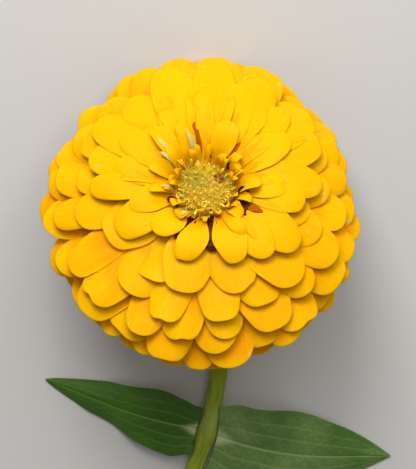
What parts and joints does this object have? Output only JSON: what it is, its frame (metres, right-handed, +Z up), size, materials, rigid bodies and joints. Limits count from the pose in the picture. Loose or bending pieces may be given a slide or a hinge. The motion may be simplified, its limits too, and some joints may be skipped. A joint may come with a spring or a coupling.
{
  "type": "zinnia flower",
  "caption": "Cut double zinnia lying on a surface: a dome of overlapping yellow ray petals round a small disc, on a bent stem with one pair of clasping leaves.",
  "frame": {"origin": "on the surface that the flower lies on, under the middle of its bounding box", "axes": "+Z up from the surface, the bloom towards +Y and facing +Y and up, the stem's cut end towards -Y, the leaves to -X and +X"},
  "size_m": [0.123, 0.1678, 0.0786],
  "materials": {
    "petal": "soft satin, fresh petal",
    "disc": "matt, fringed",
    "bract": "matt, papery with dark margins",
    "stem": "satin, faintly ribbed and downy",
    "leaf": "matt, rough to the touch, pale veins"
  },
  "bodies": {
    "root": {"ray_florets": "petal", "disc_florets": "disc", "involucre": "bract", "stem": "stem", "leaf_left": "leaf", "leaf_right": "leaf"}
  },
  "joints": []
}
